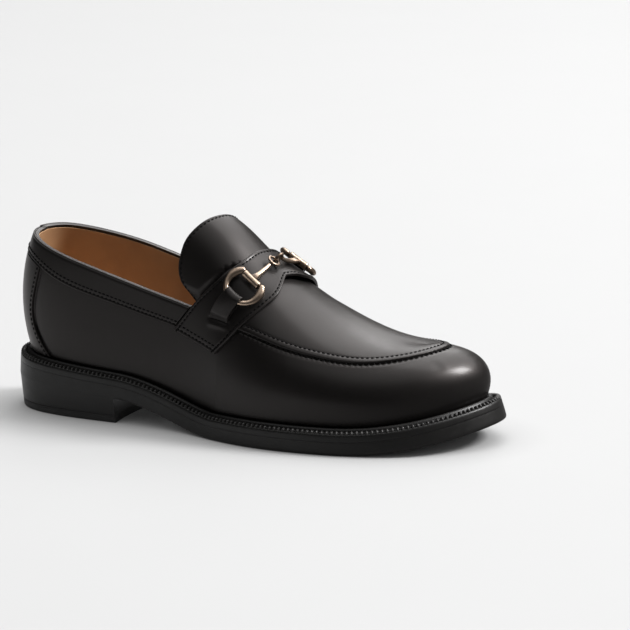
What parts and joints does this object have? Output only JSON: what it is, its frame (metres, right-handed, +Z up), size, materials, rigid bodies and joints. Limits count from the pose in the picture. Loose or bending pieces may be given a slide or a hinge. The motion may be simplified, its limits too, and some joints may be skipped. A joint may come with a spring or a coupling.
{
  "type": "snaffle-bit loafer",
  "caption": "Right shoe: slip-on loafer with moccasin apron, saddle strap, metal snaffle bit, rounded tongue, beaded welt and stacked low heel.",
  "frame": {"origin": "middle of the shoe's outline, on the floor", "axes": "+X from heel to toe, +Y to the inner side of the foot, +Z up"},
  "size_m": [0.2992, 0.1064, 0.1189],
  "materials": {
    "calf": "smooth black calf, satin",
    "sole_edge": "black edge dressing, satin",
    "rubber": "black, matt",
    "lining": "natural tan, matt",
    "bit_metal": "antique pewter, worn bright on its high places"
  },
  "bodies": {
    "root": {"outsole": "sole_edge", "welt": "sole_edge", "insole": "lining", "heel_stack": "sole_edge", "heel_top_lift": "rubber", "upper": "calf", "tongue": "calf", "saddle_strap": "calf", "collar_band": "calf", "backstay": "calf", "bit_ring_lateral": "bit_metal", "bit_ring_medial": "bit_metal", "bit_bar_lateral": "bit_metal", "bit_bar_medial": "bit_metal", "keeper_lateral": "calf", "keeper_medial": "calf"}
  },
  "joints": []
}
